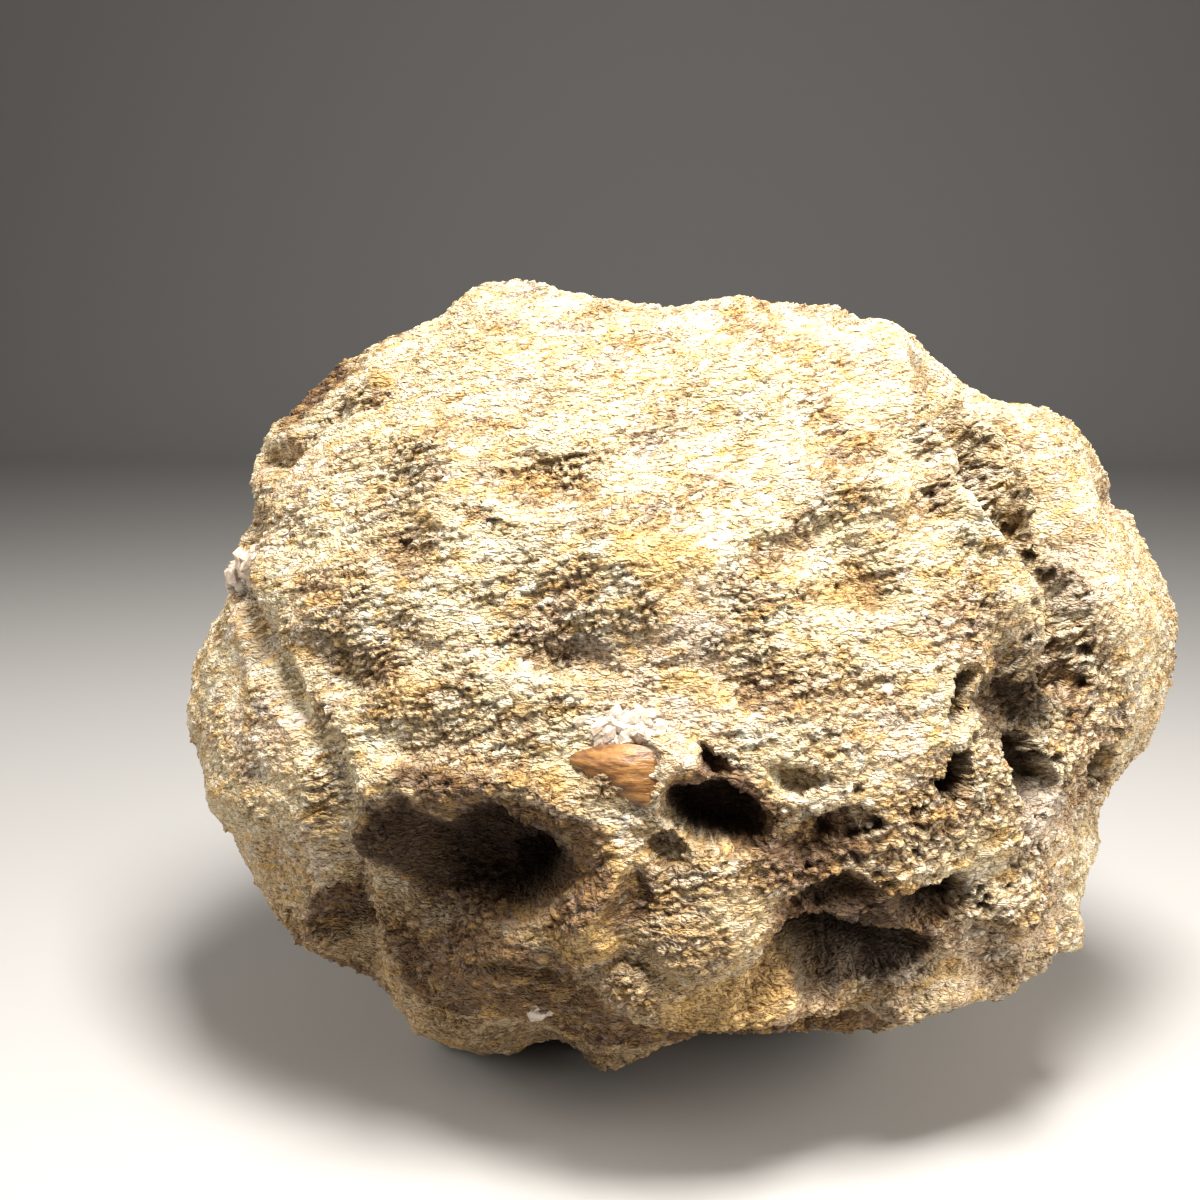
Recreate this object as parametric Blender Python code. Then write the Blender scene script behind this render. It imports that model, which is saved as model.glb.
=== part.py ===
"""An unopened geode: one natural lump of rock with a rough rind.

The stone is 195 mm wide, 148 mm high and 147 mm deep. A dome leans back from a
brow, three hollows lie under the brow, a valley parts the dome from a lobe on
the right, and a small flat spot underneath is what the stone rests on.

Every place below is in millimetres from the stone's heart: right, behind,
above. The front of the stone looks along -Y. The finished mesh is in metres,
with its origin at the middle of the flat spot and +Z up.
"""

import math

import bmesh
import bpy
import numpy as np

MM = 0.001

# Where the heart stands over the middle of the flat spot
HEART = (4.0, 1.0, 69.0)

# The outline is drawn in a plane through the heart that leans back by this angle
OUTLINE_LEAN = math.radians(15.0)

# Outline, clockwise from the top: degrees, then distance from the heart
OUTLINE = (
    (0, 74), (10, 80), (20, 83), (32, 84), (42, 81), (49, 83.5), (56, 91.5), (64, 94),
    (75, 103), (86, 95.5), (96, 91.5), (105, 86), (112, 91.5), (121, 92), (132, 84),
    (143, 79), (155, 74.5), (166, 66), (176, 66), (184, 70.5), (190, 73), (198, 69),
    (206, 75.5), (214, 84), (221, 83), (228, 85), (235, 91.5), (243, 93.5), (250, 95),
    (257, 100.5), (266, 96), (274, 91.5), (281, 90.5), (286, 93), (291, 90.5),
    (297, 94.5), (308, 98), (319, 91), (333, 89.5), (345, 80), (354, 75),
)

# Away from the outline the bumps of the rim fade into this smooth oval
OVAL_HALF_WIDTH = 88.0
OVAL_HALF_HEIGHT = 76.0

# Depth from the outline's plane to the front and back, how far right and up each
# deepest point lies, and how full the cross-section is: 2 is an ellipse
FRONT = {"depth": 70.0, "right": -6.0, "up": -14.0, "fullness": 2.1}
BACK = {"depth": 66.0, "right": 8.0, "up": 4.0, "fullness": 2.3}

# Half sizes of the ellipsoid that gives each dent its direction
HALF_SIZES = (95.0, 72.0, 75.0)

# Worn flats: bearing from the front, rise, distance from the heart
FLATS = {
    "back": (172, -12, 62),
    "back left": (-138, 14, 70),
    "back right": (128, 8, 74),
    "back top": (165, 46, 64),
    "left low": (-100, -34, 79),
    "right low": (95, -38, 77),
    "back low": (178, -52, 62),
    "left back low": (-150, -30, 68),
    "right lobe": (70, 28, 88),
    "left top": (-60, 48, 83),
}
FLAT_SHARE = 0.85
FLAT_SOFTNESS = 3.0

# Hollows and swellings: right, behind, above, half width, half height,
# height (a hollow is negative), turn in degrees, share that is flat floor
SPOTS = {
    "left hollow": (-30, -71, -15, 18, 11, -8, 4, 0.3),
    "left hollow back": (-29, -72, -16, 14, 8, -5, 4, 0.2),
    "left hollow apron": (-37, -68, -24, 22, 14, -5, 0, 0),
    "left hollow eye": (-25, -72, -18, 6, 4.5, -6, 0, 0.3),
    "left hollow wall": (-20, -72, -13, 11, 12, -3.5, 0, 0.1),
    "crack under the hollow": (-29, -70, -32, 12, 3, -2.5, -5, 0.1),
    "recess beside the pillar": (-7, -73, -17, 3.5, 11, -3.5, 0, 0.1),
    "pillar": (-13, -74, -18, 7, 20, 5, 8, 0.1),
    "middle pit": (7, -72, -4, 9.5, 7, -13, 8, 0.45),
    "middle pit step": (-1, -72, -8, 4, 3, -4, 0, 0.3),
    "middle pit window": (5, -70, 5, 3, 2.5, -5, 0, 0.3),
    "small eye": (18, -69, 2, 4, 2.5, -4, 20, 0.3),
    "right hollow": (27, -68, -27, 18, 8.5, -15, 6, 0.5),
    "right hollow corner": (42, -62, -20, 9, 6, -7, 0, 0.3),
    "layered hollow": (26, -70, -16, 11, 4.5, -5, -8, 0.25),
    "middle tail": (24, -69, -6, 13, 5, -4, -8, 0.1),
    "shelf": (6, -73, -22, 16, 12, 5, -10, 0.1),
    "low right lobe": (56, -54, -24, 14, 10, 5, 0, 0.1),
    "spongy side": (58, -51, 10, 19, 20, -6, 10, 0.1),
    "slit": (47, -56, 14, 3, 8, -6, 35, 0.3),
    "round hole": (45, -61, 0, 4, 3.6, -7, 0, 0.45),
    "tall hole": (58, -53, 0, 4.5, 8.5, -9, 5, 0.4),
    "edge hole": (76, -39, -4, 5, 5.5, -7, 0, 0.4),
    "valley pit": (59, -38, 37, 4.5, 4, -5, 0, 0.3),
    "dome dent a": (-23, -46, 48, 15, 10, -4, 0, 0),
    "dome dent b": (-48, -48, 37, 12, 9, -3, 0, 0),
    "dome dent c": (-27, -62, 24, 12, 9, -2.5, 0, 0),
    "dome dent d": (-58, -55, 14, 10, 8, -3, 0, 0),
    "dome dent e": (26, -39, 52, 10, 8, -3, 0, 0),
    "dome dent f": (19, -54, 37, 10, 7, -2.5, 0, 0),
    "dome dent g": (31, -54, 32, 11, 8, -3, 0, 0),
    "dome dent h": (10, -66, 17, 10, 6, -2.5, 10, 0),
    "dome dent i": (-19, -65, 20, 9, 5, -2.5, 15, 0),
    "dome swell a": (-5, -58, 35, 16, 11, 3, 0, 0),
    "dome swell b": (33, -46, 45, 13, 10, 4, 0, 0),
    "dome swell c": (8, -30, 62, 18, 12, 3, 0, 0),
    "dome swell d": (-42, -40, 52, 14, 10, 3, 0, 0),
    "dome swell e": (-43, -62, 12, 14, 10, 2, 0, 0),
    "corner recess": (-60, -56, -32, 8, 6, -5, -30, 0.2),
    "left flank swell": (-88, -8, 0, 22, 26, 4, 0, 0),
    "left flank hollow": (-82, 20, -18, 17, 12, -8, 8, 0.25),
    "left flank pit": (-90, 8, 20, 8, 5, -5, 30, 0.2),
    "left flank pit low": (-92, 2, 12, 4, 6, -4, 0, 0.3),
    "left heel": (-74, 34, -40, 20, 14, 5, 0, 0),
    "right flank swell": (88, 6, 16, 24, 22, 4, 0, 0),
    "right flank hollow": (82, 22, -24, 18, 11, -10, -6, 0.3),
    "right flank pit": (92, -2, -8, 6, 9, -5, 25, 0.2),
    "right flank pit low": (78, -18, -34, 6, 5, -5, 0, 0.3),
    "back hollow": (-24, 68, -14, 22, 14, -12, -5, 0.3),
    "back hollow eye": (-18, 68, -18, 9, 5, -6, 25, 0.25),
    "back hollow edge": (-4, 68, -22, 6, 8, -5, 0, 0.2),
    "back ledge": (-10, 66, -38, 34, 7, 5, 5, 0),
    "back shoulder": (38, 52, 34, 26, 18, 7, 0, 0),
    "back saddle": (2, 50, 50, 20, 16, -6, 0, 0),
    "back pit": (36, 62, -10, 11, 6, -8, 20, 0.25),
    "back pit step": (27, 64, -5, 6, 7, -5, 0, 0.3),
    "back pit right": (52, 50, 10, 5, 6, -6, 0, 0.35),
    "back pit left": (-56, 44, 26, 9, 5, -5, 40, 0.2),
    "back brow": (-34, 60, 16, 26, 8, 5, -8, 0),
    "top dish": (-6, 22, 72, 24, 18, -4, 0, 0),
    "top knob": (30, 20, 70, 14, 12, 4, 0, 0),
    "under left": (-48, 6, -62, 26, 20, -5, 0, 0),
    "under right": (50, 0, -60, 26, 18, -4, 0, 0),
    "under back": (6, 46, -60, 28, 14, -5, 0, 0),
    "sole": (-4, -1, -70, 34, 27, 3, 0, 0.3),
}
SPOT_REACH = 45.0

# Valleys and ledges: half width, height (a valley is negative), then the places
# that the line runs through
LINES = {
    "valley": (8, -8, ((46, -14, 61), (47, -27, 51), (52, -35, 43), (59, -38, 37),
                       (63, -41, 30), (67, -43, 22), (69, -45, 13))),
    "lobe valley": (7, -7, ((56, 6, 68), (54, -8, 61), (60, -21, 50), (66, -28, 42),
                            (71, -31, 34))),
    "dome edge": (7, 4.5, ((38, -12, 69), (42, -26, 57), (45, -38, 46), (52, -42, 38),
                           (57, -45, 30), (61, -48, 21), (62, -50, 12))),
    "valley shoulder": (4, 3, ((50, -14, 59), (55, -23, 50), (60, -32, 42))),
    "flank edge": (7, -4, ((-85, -14, 33), (-79, -31, 22), (-75, -38, 17),
                           (-68, -48, 11), (-58, -57, 2), (-56, -60, -5),
                           (-55, -60, -18), (-56, -53, -36))),
    "back ridge dip": (6, -6, ((-46, 4, 73), (-52, -9, 67), (-57, -18, 60),
                               (-67, -12, 58), (-73, -16, 50), (-83, -5, 45))),
    "brow": (7, 3.5, ((-48, -64, -1), (-36, -68, 0), (-20, -72, 0), (-10, -72, 2),
                      (4, -72, 3))),
    "low ledge": (6, 6, ((-6, -72, -33), (4, -70, -36), (38, -59, -39),
                         (56, -50, -37), (68, -38, -34))),
    "under the ledge": (5, -4, ((2, -66, -44), (18, -62, -46), (38, -54, -47),
                                (56, -44, -45))),
    "back seam": (8, -4, ((70, 30, 44), (46, 52, 16), (20, 66, 4), (-6, 66, 8),
                          (-34, 62, 0), (-62, 46, -8), (-82, 20, 2))),
    "right seam": (8, -4, ((78, -10, 40), (86, 12, 26), (84, 30, 4), (70, 44, -20),
                           (50, 52, -40))),
}
LINE_CREST = 0.1

# Random lumps: their size, their height and the seed of their pattern
LUMPS = ((38.0, 3.0, 11), (19.0, 1.7, 12), (9.5, 0.8, 13))

# Bends that make the rims of hollows and valleys uneven: size, reach, seeds
BENDS = ((22.0, 4.5, (21, 22, 23)), (9.0, 2.4, (24, 25, 26)))

# Random patterns repeat after this many cells, and are scaled to reach about 1
PATTERN_CELLS = 24
PATTERN_GAIN = 1.6
PATTERN_SHIFT = 100.5

# Fineness of the ball that the form is worked out on, and the share of its
# faces that the finished stone keeps
BALL_SUBDIVISIONS = 7
FACES_KEPT = 0.115

GROUND_SIZE = 0.3

RIGHT = np.array([1.0, 0.0, 0.0])
UP = np.array([0.0, math.sin(OUTLINE_LEAN), math.cos(OUTLINE_LEAN)])
NEAR = np.array([0.0, -math.cos(OUTLINE_LEAN), math.sin(OUTLINE_LEAN)])


def unit(vectors):
    """Each vector divided by its own length."""
    return vectors / np.linalg.norm(vectors, axis=-1, keepdims=True)


def ease(low, high, value):
    """0 below low, 1 above high, and a smooth S between them."""
    share = np.clip((value - low) / (high - low), 0.0, 1.0)
    return share * share * (3.0 - 2.0 * share)


def pattern(points, size, seed):
    """Random values of about -1 to 1 that change smoothly over the given size.

    Each corner of a lattice has a random slope, and a point blends the heights
    that the slopes of its eight corners give it.
    """
    cells = (PATTERN_CELLS,) * 3
    slopes = unit(np.random.default_rng(seed).normal(size=cells + (3,)))
    place = points / size + PATTERN_SHIFT
    corner = np.floor(place).astype(int)
    inside = place - corner
    blend = inside**3 * (inside * (inside * 6.0 - 15.0) + 10.0)
    total = np.zeros(len(points))
    for step in np.ndindex(2, 2, 2):
        x, y, z = ((corner + step) % PATTERN_CELLS).T
        height = (slopes[x, y, z] * (inside - step)).sum(axis=1)
        share = np.where(np.array(step) == 1, blend, 1.0 - blend).prod(axis=1)
        total += share * height
    return total * PATTERN_GAIN


def bend(points):
    """Points pushed about by random patterns, for uneven rims."""
    for size, reach, seeds in BENDS:
        pushes = [pattern(points, size, seed) for seed in seeds]
        points = points + reach * np.stack(pushes, axis=1)
    return points


def outline_radius(clock):
    """Distance to the outline at clock angles in degrees, on a smooth curve."""
    marks = np.array(OUTLINE, dtype=float)
    before, after = marks - (360.0, 0.0), marks + (360.0, 0.0)
    angle, radius = np.concatenate([before, marks, after]).T
    at = np.searchsorted(angle, clock, side="right") - 1
    span = angle[at + 1] - angle[at]
    share = (clock - angle[at]) / span
    slope = (radius[2:] - radius[:-2]) / (angle[2:] - angle[:-2])
    leaving, reaching = slope[at - 1] * span, slope[at] * span
    square, cube = share**2, share**3
    return ((2 * cube - 3 * square + 1) * radius[at]
            + (cube - 2 * square + share) * leaving
            + (3 * square - 2 * cube) * radius[at + 1]
            + (cube - square) * reaching)


def body(ball):
    """The plain body: a ball's points carried out to the outline and the depths.

    Round the rim a point lies on the outline. Towards the front and the back
    the outline shrinks to that side's deepest point, on a superellipse.
    """
    aside, up, near = ball @ RIGHT, ball @ UP, ball @ NEAR
    clock = np.degrees(np.arctan2(aside, up)) % 360.0
    outward = np.sqrt(np.maximum(0.0, 1.0 - near**2))
    sine, cosine = np.sin(np.radians(clock)), np.cos(np.radians(clock))
    oval = 1.0 / np.hypot(sine / OVAL_HALF_WIDTH, cosine / OVAL_HALF_HEIGHT)
    radius = oval + (outline_radius(clock) - oval) * outward**3

    is_front = near > 0.0
    side = {key: np.where(is_front, FRONT[key], BACK[key]) for key in FRONT}
    spread = outward ** (2.0 / side["fullness"])
    deep = np.sign(near) * np.abs(near) ** (2.0 / side["fullness"])
    right = radius * spread * sine + side["right"] * (1.0 - spread**2)
    raised = radius * spread * cosine + side["up"] * (1.0 - spread**2)
    depth = side["depth"] * deep
    return right[:, None] * RIGHT + raised[:, None] * UP + depth[:, None] * NEAR


def body_normals(ball):
    """Outward directions of the plain body, from points a little to each side."""
    step = 0.01
    pole = np.where(np.abs(ball[:, 2:]) < 0.9, [[0.0, 0.0, 1.0]], [[1.0, 0.0, 0.0]])
    aside = unit(np.cross(ball, pole))
    above = np.cross(aside, ball)
    along = body(unit(ball + step * aside)) - body(unit(ball - step * aside))
    across = body(unit(ball + step * above)) - body(unit(ball - step * above))
    normals = unit(np.cross(along, across))
    return normals * np.sign((normals * ball).sum(axis=1))[:, None]


def wear_flats(points):
    """Push what stands out past each flat most of the way back to it."""
    for bearing, rise, distance in FLATS.values():
        bearing, rise = math.radians(bearing), math.radians(rise)
        outward = np.array([math.sin(bearing) * math.cos(rise),
                            -math.cos(bearing) * math.cos(rise),
                            math.sin(rise)])
        past = points @ outward - distance
        proud = (past + np.hypot(past, FLAT_SOFTNESS)) / 2.0
        points = points - FLAT_SHARE * proud[:, None] * outward
    return points


def spot_push(bent, spot):
    """How far one hollow or swelling moves each point, as vectors."""
    place, (width, height, lift, turn, floor) = np.array([spot[:3]], float), spot[3:]
    outward = unit(place / np.square(HALF_SIZES))[0]
    level = unit(np.cross((0.0, 0.0, 1.0), outward))
    steep = np.cross(outward, level)
    sine, cosine = math.sin(math.radians(turn)), math.cos(math.radians(turn))
    across = steep * sine - level * cosine
    along = steep * cosine + level * sine
    offset = bent - bend(place)
    far = np.sqrt((offset @ across / width) ** 2
                  + (offset @ along / height) ** 2
                  + (offset @ outward / SPOT_REACH) ** 2)
    return lift * (1.0 - ease(floor, 1.0, far))[:, None] * outward


def line_share(bent, half_width, places):
    """1 on a line through the places, falling to 0 at half the width aside."""
    places = bend(np.array(places, dtype=float))
    nearest = np.full(len(bent), np.inf)
    for start, end in zip(places[:-1], places[1:]):
        run = end - start
        share = np.clip((bent - start) @ run / (run @ run), 0.0, 1.0)
        away = np.linalg.norm(bent - start - share[:, None] * run, axis=1)
        nearest = np.minimum(nearest, away)
    return 1.0 - ease(LINE_CREST, 1.0, nearest / half_width)


def stone_points(ball):
    """The whole form: worn body, hollows, swellings, valleys, ledges, lumps."""
    points, normals = wear_flats(body(ball)), body_normals(ball)
    bent = bend(points)
    moved = points.copy()
    for spot in SPOTS.values():
        moved += spot_push(bent, spot)
    for half_width, lift, places in LINES.values():
        moved += lift * line_share(bent, half_width, places)[:, None] * normals
    for size, height, seed in LUMPS:
        moved += height * pattern(points, size, seed)[:, None] * normals
    return moved


def stone_mesh():
    """A ball of even triangles with its points moved to the stone's form."""
    builder = bmesh.new()
    bmesh.ops.create_icosphere(builder, subdivisions=BALL_SUBDIVISIONS, radius=1.0)
    mesh = bpy.data.meshes.new("geode")
    builder.to_mesh(mesh)
    builder.free()

    count = len(mesh.vertices)
    places = np.empty(count * 3)
    mesh.vertices.foreach_get("co", places)
    points = stone_points(unit(places.reshape(count, 3)))
    mesh.vertices.foreach_set("co", ((points + HEART) * MM).ravel())
    mesh.update()
    mesh.shade_smooth()
    return mesh


def rind_material():
    """Dry, chalky rind of iron-stained lime and quartz."""
    material = bpy.data.materials.new("rind")
    material.use_nodes = True
    shader = material.node_tree.nodes["Principled BSDF"]
    shader.inputs["Base Color"].default_value = (0.52, 0.39, 0.22, 1.0)
    shader.inputs["Roughness"].default_value = 0.9
    shader.inputs["Metallic"].default_value = 0.0
    return material


def new_collection(name):
    collection = bpy.data.collections.new(name)
    bpy.context.scene.collection.children.link(collection)
    return collection


def ground_cutter():
    """The block of ground that cuts the flat spot, with its top at height zero."""
    builder = bmesh.new()
    bmesh.ops.create_cube(builder, size=GROUND_SIZE)
    bmesh.ops.translate(builder, verts=builder.verts, vec=(0, 0, -GROUND_SIZE / 2))
    mesh = bpy.data.meshes.new("ground_cutter")
    builder.to_mesh(mesh)
    builder.free()
    cutter = bpy.data.objects.new("ground_cutter", mesh)
    cutter.hide_render = True
    cutter.display_type = "WIRE"
    return cutter


def build_geode():
    stone = bpy.data.objects.new("geode", stone_mesh())
    stone.data.materials.append(rind_material())
    new_collection("unopened_geode").objects.link(stone)

    cutter = ground_cutter()
    new_collection("cutters").objects.link(cutter)

    fewer = stone.modifiers.new("fewer_faces", "DECIMATE")
    fewer.ratio = FACES_KEPT
    flat = stone.modifiers.new("flat_spot", "BOOLEAN")
    flat.operation = "DIFFERENCE"
    flat.solver = "EXACT"
    flat.object = cutter


for item in list(bpy.data.objects):
    bpy.data.objects.remove(item)
build_geode()
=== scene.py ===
# %% [markdown]
# An unopened geode is one lump of rock, so this lesson has one large surface
# to make and a few small ones. The rough rind is everything here: its form
# comes first, then its sponge of pits and flakes, then its colours. The packed
# solid is the frame, and the finished stone takes its place in the same spot.

# %% Load the frame
import math

import bpy
import numpy as np
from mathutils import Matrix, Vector


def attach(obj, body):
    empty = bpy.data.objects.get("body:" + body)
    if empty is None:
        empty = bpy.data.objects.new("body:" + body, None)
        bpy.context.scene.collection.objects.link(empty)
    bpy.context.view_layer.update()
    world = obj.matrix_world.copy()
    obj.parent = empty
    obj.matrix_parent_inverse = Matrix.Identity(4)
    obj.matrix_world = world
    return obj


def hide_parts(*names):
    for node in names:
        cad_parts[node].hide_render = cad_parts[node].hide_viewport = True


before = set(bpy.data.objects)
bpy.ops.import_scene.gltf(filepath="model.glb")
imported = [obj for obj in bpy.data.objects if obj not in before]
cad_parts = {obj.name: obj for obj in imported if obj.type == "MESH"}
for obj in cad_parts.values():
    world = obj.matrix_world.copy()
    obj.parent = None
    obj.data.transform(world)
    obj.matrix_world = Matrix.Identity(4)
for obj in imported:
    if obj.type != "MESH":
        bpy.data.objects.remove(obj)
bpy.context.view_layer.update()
MM = 0.001

# %% [markdown]
# Rock is uneven at every size at once. One tool gives all of it: a pattern of
# random slopes on a lattice, which is smooth up close and random from afar. Two
# more tools scatter centres, one in each cell of a lattice, and measure the
# distance to them: that is how bubbles and flakes lie in a real rind.

# %% Random patterns worked out on whole arrays
PATTERN_CELLS = 24
PATTERN_GAIN = 1.6
PATTERN_SHIFT = 100.5
LATTICE = (PATTERN_CELLS,) * 3
BILLOW_MEAN = 0.27
CENTRE_ROOM = (0.15, 0.85)
NO_BALL = 1e-6


def unit(vectors):
    """Each vector divided by its own length."""
    return vectors / np.linalg.norm(vectors, axis=-1, keepdims=True)


def ease(low, high, value):
    """0 below low, 1 above high, and a smooth S between them: 3t squared minus 2t cubed."""
    share = np.clip((value - low) / (high - low), 0.0, 1.0)
    return share * share * (3.0 - 2.0 * share)


def pattern(points, size, seed):
    """Random values of about -1 to 1 that change smoothly over the given size.

    Each corner of a lattice has a random slope. A point takes the height that
    each of its eight corners' slopes gives it, and blends the eight.
    """
    slopes = unit(np.random.default_rng(seed).normal(size=LATTICE + (3,)))
    place = points / size + PATTERN_SHIFT
    corner = np.floor(place).astype(int)
    inside = place - corner
    blend = inside**3 * (inside * (inside * 6.0 - 15.0) + 10.0)
    total = np.zeros(len(points))
    for step in np.ndindex(2, 2, 2):
        x, y, z = ((corner + step) % PATTERN_CELLS).T
        height = (slopes[x, y, z] * (inside - step)).sum(axis=1)
        share = np.where(np.array(step) == 1, blend, 1.0 - blend).prod(axis=1)
        total += share * height
    return total * PATTERN_GAIN


def billow(points, size, seed):
    """Rounded lumps with sharp creases between: the size of a pattern, minus its mean."""
    return np.abs(pattern(points, size, seed)) - BILLOW_MEAN


def holes(points, size, seed, smallest, largest, share):
    """Depth of round pits under the surface, 1 at the bottom and 0 outside.

    Every lattice cell has a ball with a random centre and radius, and only the
    given share of the balls is there. The depth follows a circle: the square
    root of 1 minus the square of distance over radius.
    """
    random = np.random.default_rng(seed)
    centres = random.uniform(*CENTRE_ROOM, LATTICE + (3,))
    radii = random.uniform(smallest, largest, LATTICE)
    radii = np.where(random.uniform(size=LATTICE) < share, radii, NO_BALL)
    place = points / size + PATTERN_SHIFT
    corner = np.floor(place).astype(int)
    deepest = np.zeros(len(points))
    for step in np.ndindex(3, 3, 3):
        near = corner + step - 1
        x, y, z = (near % PATTERN_CELLS).T
        away = np.linalg.norm(near + centres[x, y, z] - place, axis=1)
        deepest = np.maximum(deepest, 1.0 - (away / radii[x, y, z]) ** 2)
    return np.sqrt(deepest)


def flakes(points, size, seed):
    """How far inside its flake each point is, and four traits of that flake.

    A flake is all the space that is nearer to its own centre than to any other,
    so the distance to the second nearest centre minus that to the nearest is 0
    where two flakes meet. Three traits are random. The fourth is how far the
    point lies below the flake's centre.
    """
    random = np.random.default_rng(seed)
    centres = random.uniform(*CENTRE_ROOM, LATTICE + (3,))
    traits = random.uniform(-1.0, 1.0, LATTICE + (3,))
    place = points / size + PATTERN_SHIFT
    corner = np.floor(place - 0.5).astype(int)
    nearest, second = np.full((2, len(points)), np.inf)
    own = np.zeros((len(points), 4))
    for step in np.ndindex(2, 2, 2):
        near = corner + step
        x, y, z = (near % PATTERN_CELLS).T
        offset = near + centres[x, y, z] - place
        away = np.linalg.norm(offset, axis=1)
        closer = away < nearest
        second = np.where(closer, nearest, np.minimum(second, away))
        nearest = np.where(closer, away, nearest)
        own[closer] = np.hstack([traits[x, y, z], offset[:, 2:]])[closer]
    return second - nearest, own


print("random patterns are ready, on a lattice of", PATTERN_CELLS, "cells a side")

# %% [markdown]
# The stone's form is the one that its solid has. It is worked out again here,
# from the same sizes, because a visible surface needs far finer steps than the
# solid. It starts as a plain body: the outline that the photograph shows,
# leaning back a little, with a depth in front of it and behind it. Places are
# in millimetres from the stone's heart: right, behind, above.

# %% The plain body
HEART = (4.0, 1.0, 69.0)
OUTLINE_LEAN = math.radians(15.0)
OUTLINE = (
    (0, 74), (10, 80), (20, 83), (32, 84), (42, 81), (49, 83.5), (56, 91.5), (64, 94),
    (75, 103), (86, 95.5), (96, 91.5), (105, 86), (112, 91.5), (121, 92), (132, 84),
    (143, 79), (155, 74.5), (166, 66), (176, 66), (184, 70.5), (190, 73), (198, 69),
    (206, 75.5), (214, 84), (221, 83), (228, 85), (235, 91.5), (243, 93.5), (250, 95),
    (257, 100.5), (266, 96), (274, 91.5), (281, 90.5), (286, 93), (291, 90.5),
    (297, 94.5), (308, 98), (319, 91), (333, 89.5), (345, 80), (354, 75),
)
OVAL_HALF_WIDTH = 88.0
OVAL_HALF_HEIGHT = 76.0
FRONT = {"depth": 70.0, "right": -6.0, "up": -14.0, "fullness": 2.1}
BACK = {"depth": 66.0, "right": 8.0, "up": 4.0, "fullness": 2.3}
RIGHT = np.array([1.0, 0.0, 0.0])
UP = np.array([0.0, math.sin(OUTLINE_LEAN), math.cos(OUTLINE_LEAN)])
NEAR = np.array([0.0, -math.cos(OUTLINE_LEAN), math.sin(OUTLINE_LEAN)])


def cubic(start, end, leaving, reaching, share):
    """A curve from a start to an end that leaves and reaches them with given slopes."""
    square, cube = share**2, share**3
    return ((2 * cube - 3 * square + 1) * start + (cube - 2 * square + share) * leaving
            + (3 * square - 2 * cube) * end + (cube - square) * reaching)


def outline_radius(clock):
    """Distance to the outline at clock angles in degrees.

    Between two marks runs a cubic whose slope at each mark is that of the
    straight line between its neighbours.
    """
    marks = np.array(OUTLINE, dtype=float)
    before, after = marks - (360.0, 0.0), marks + (360.0, 0.0)
    angle, radius = np.concatenate([before, marks, after]).T
    at = np.searchsorted(angle, clock, side="right") - 1
    span = angle[at + 1] - angle[at]
    share = (clock - angle[at]) / span
    slope = (radius[2:] - radius[:-2]) / (angle[2:] - angle[:-2])
    return cubic(radius[at], radius[at + 1], slope[at - 1] * span, slope[at] * span, share)


def body(ball):
    """A ball's points carried out to the outline and the depths.

    Round the rim a point lies on the outline. Towards the front and the back
    the outline shrinks to that side's deepest point, on a superellipse.
    """
    aside, up, near = ball @ RIGHT, ball @ UP, ball @ NEAR
    clock = np.degrees(np.arctan2(aside, up)) % 360.0
    outward = np.sqrt(np.maximum(0.0, 1.0 - near**2))
    sine, cosine = np.sin(np.radians(clock)), np.cos(np.radians(clock))
    oval = 1.0 / np.hypot(sine / OVAL_HALF_WIDTH, cosine / OVAL_HALF_HEIGHT)
    radius = oval + (outline_radius(clock) - oval) * outward**3

    is_front = near > 0.0
    side = {key: np.where(is_front, FRONT[key], BACK[key]) for key in FRONT}
    spread = outward ** (2.0 / side["fullness"])
    deep = np.sign(near) * np.abs(near) ** (2.0 / side["fullness"])
    right = radius * spread * sine + side["right"] * (1.0 - spread**2)
    raised = radius * spread * cosine + side["up"] * (1.0 - spread**2)
    depth = side["depth"] * deep
    return right[:, None] * RIGHT + raised[:, None] * UP + depth[:, None] * NEAR


def body_normals(ball):
    """Outward directions of the plain body, from points a little to each side."""
    step = 0.01
    pole = np.where(np.abs(ball[:, 2:]) < 0.9, [[0.0, 0.0, 1.0]], [[1.0, 0.0, 0.0]])
    aside = unit(np.cross(ball, pole))
    above = np.cross(aside, ball)
    along = body(unit(ball + step * aside)) - body(unit(ball - step * aside))
    across = body(unit(ball + step * above)) - body(unit(ball - step * above))
    normals = unit(np.cross(along, across))
    return normals * np.sign((normals * ball).sum(axis=1))[:, None]


print("the outline has", len(OUTLINE), "marks, and the widest is",
      max(radius for clock, radius in OUTLINE), "mm from the heart")

# %% [markdown]
# Nature then wears flats on a lump like this, and eats hollows into it. Each
# hollow or swelling is a spot with a place, a width, a height and a depth. Each
# valley or ledge is a line through a few places. Everything is measured in
# space that is bent by a random pattern, so that no rim is a neat oval.

# %% Flats, spots and lines
HALF_SIZES = (95.0, 72.0, 75.0)
FLATS = {
    "back": (172, -12, 62),
    "back left": (-138, 14, 70),
    "back right": (128, 8, 74),
    "back top": (165, 46, 64),
    "left low": (-100, -34, 79),
    "right low": (95, -38, 77),
    "back low": (178, -52, 62),
    "left back low": (-150, -30, 68),
    "right lobe": (70, 28, 88),
    "left top": (-60, 48, 83),
}
FLAT_SHARE = 0.85
FLAT_SOFTNESS = 3.0

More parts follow.
